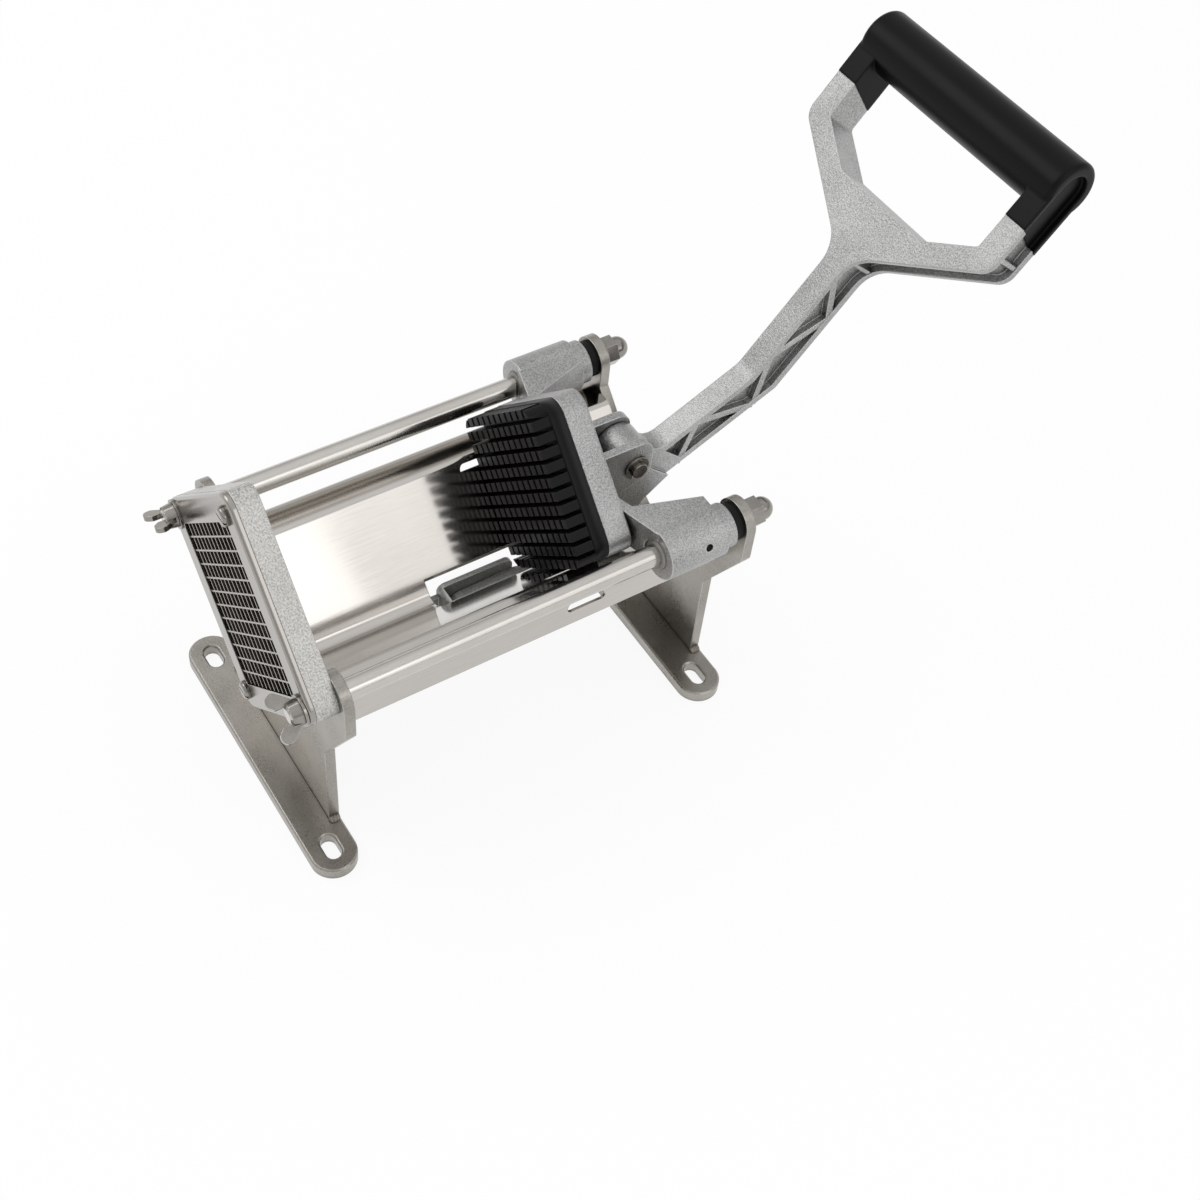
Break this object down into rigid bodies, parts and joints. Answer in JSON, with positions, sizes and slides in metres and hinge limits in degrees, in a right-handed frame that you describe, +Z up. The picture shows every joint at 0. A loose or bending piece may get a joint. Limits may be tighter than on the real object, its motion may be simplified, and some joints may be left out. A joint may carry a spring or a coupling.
{
  "type": "potato slicer",
  "caption": "Bench potato slicer: a lever drives a fingered pusher on guide rods along a V tray, forcing a potato through a diamond-set blade grid held by wing nuts.",
  "frame": {"origin": "centre of the four bench slots, on the table plane under the feet", "axes": "+X to the right seen from the blade end, +Y along the guide rods towards the lever, +Z up"},
  "size_m": [0.151, 0.3938, 0.2602],
  "materials": {
    "blasted_steel": "bead-blasted stainless steel",
    "polished_steel": "polished stainless sheet",
    "rod_steel": "ground and polished steel bar",
    "plated_steel": "bright nickel-plated fasteners",
    "blade_steel": "ground blade strip",
    "cast_aluminium": "tumbled aluminium casting",
    "dark_casting": "shot-blasted aluminium casting",
    "black_rubber": "moulded black rubber",
    "grey_nylon": "machined grey nylon",
    "black_acetal": "moulded black acetal",
    "black_vinyl": "dipped black vinyl"
  },
  "bodies": {
    "frame": {"front_foot": "blasted_steel", "rear_foot": "blasted_steel", "front_leg_plate": "blasted_steel", "rear_leg_plate": "blasted_steel", "potato_tray": "polished_steel", "link_bracket": "cast_aluminium", "bracket_pin": "plated_steel", "cassette_body": "cast_aluminium", "cassette_cover": "polished_steel", "top_cassette_screw": "plated_steel", "bottom_cassette_screw": "plated_steel", "rising_blades": "blade_steel", "falling_blades": "blade_steel", "left_guide_rod": "rod_steel", "left_front_washer": "plated_steel", "left_rear_washer": "plated_steel", "left_cap_nut": "plated_steel", "left_bumper": "black_rubber", "right_guide_rod": "rod_steel", "right_front_washer": "plated_steel", "right_rear_washer": "plated_steel", "right_cap_nut": "plated_steel", "right_bumper": "black_rubber"},
    "carriage": {"carriage": "cast_aluminium", "pusher_block": "black_acetal", "pusher_screws": "plated_steel", "lever_pin": "plated_steel", "pin_clips": "plated_steel", "left_bushing": "grey_nylon", "right_bushing": "grey_nylon"},
    "lever": {"lever": "cast_aluminium", "crank_pin": "plated_steel", "grip": "black_vinyl"},
    "link": {"drive_link": "dark_casting", "link_pin": "plated_steel"},
    "left_wing_nut": {"left_wing_nut": "plated_steel"},
    "right_wing_nut": {"right_wing_nut": "plated_steel"}
  },
  "joints": [
    {"name": "carriage_slide", "type": "slide", "parent": "frame", "child": "carriage", "axis": [0, -1, 0], "range_m": [0, 0.134]},
    {"name": "lever_pivot", "type": "hinge", "parent": "carriage", "child": "lever", "pos_m": [0, 0.0863, 0.1145], "axis": [1, 0, 0], "range_deg": [0, 97.96]},
    {"name": "link_pivot", "type": "hinge", "parent": "frame", "child": "link", "pos_m": [0, 0.004, 0.04804], "axis": [1, 0, 0], "range_deg": [0, 69.04]},
    {"name": "left_wing_turn", "type": "hinge", "parent": "frame", "child": "left_wing_nut", "pos_m": [-0.0605, -0.1113, 0.1145], "axis": [0, -1, 0], "continuous": true},
    {"name": "right_wing_turn", "type": "hinge", "parent": "frame", "child": "right_wing_nut", "pos_m": [0.0605, -0.1113, 0.1145], "axis": [0, -1, 0], "continuous": true}
  ],
  "couplings": [
    {"joint": "lever_pivot", "follows": "carriage_slide", "rad_per_m": 12.753},
    {"joint": "link_pivot", "follows": "carriage_slide", "rad_per_m": 8.9864}
  ]
}
